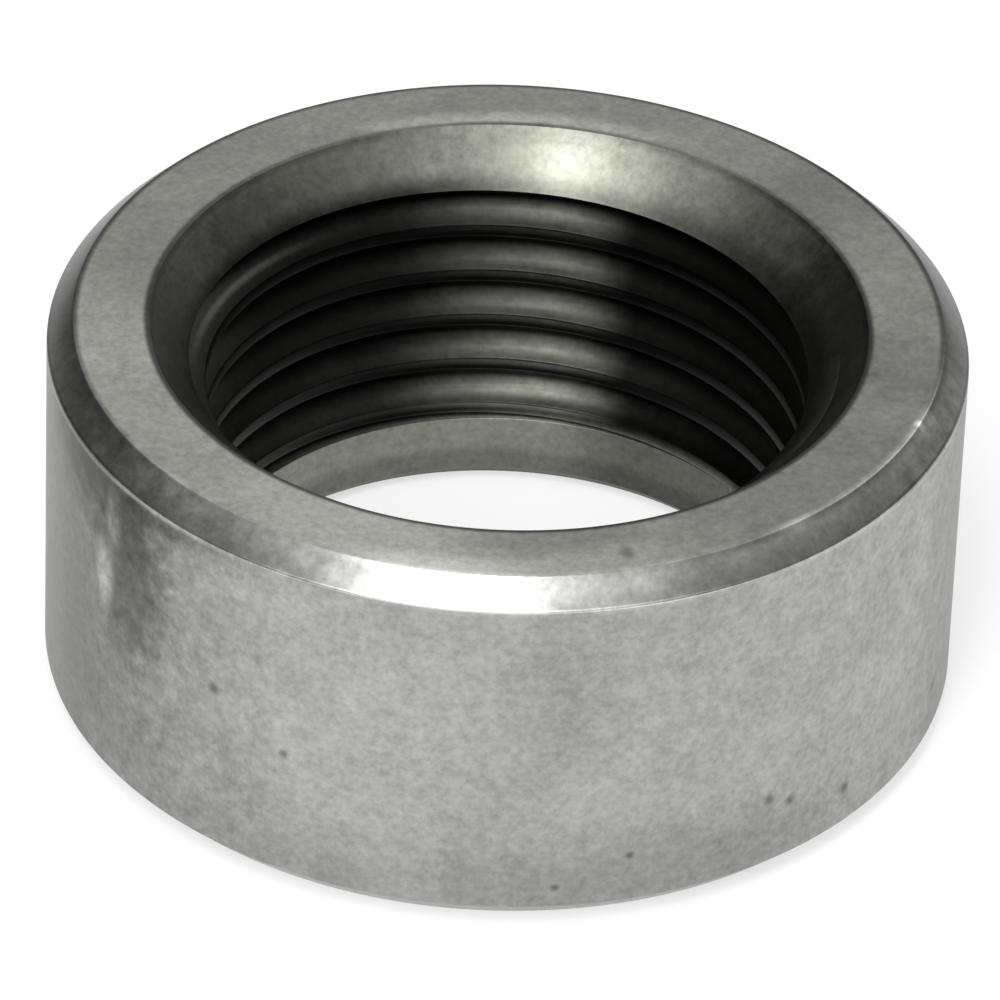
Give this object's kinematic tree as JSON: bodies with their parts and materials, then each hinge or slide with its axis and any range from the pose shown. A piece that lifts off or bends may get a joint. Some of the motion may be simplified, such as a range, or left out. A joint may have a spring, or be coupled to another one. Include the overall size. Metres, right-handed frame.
{
  "type": "oxygen sensor bung",
  "caption": "Thick turned steel ring with chamfered edges and a countersunk, threaded bore, welded to an exhaust pipe to hold an oxygen sensor.",
  "frame": {"origin": "centre of the bottom face, on the bore's axis", "axes": "+Z along the bore, from the face that is welded to the pipe towards the countersunk face that the sensor seats on"},
  "size_m": [0.025, 0.025, 0.011],
  "materials": {
    "steel": "bare and dull, as turned, with fine mottling"
  },
  "bodies": {
    "root": {"bung": "steel"}
  },
  "joints": []
}
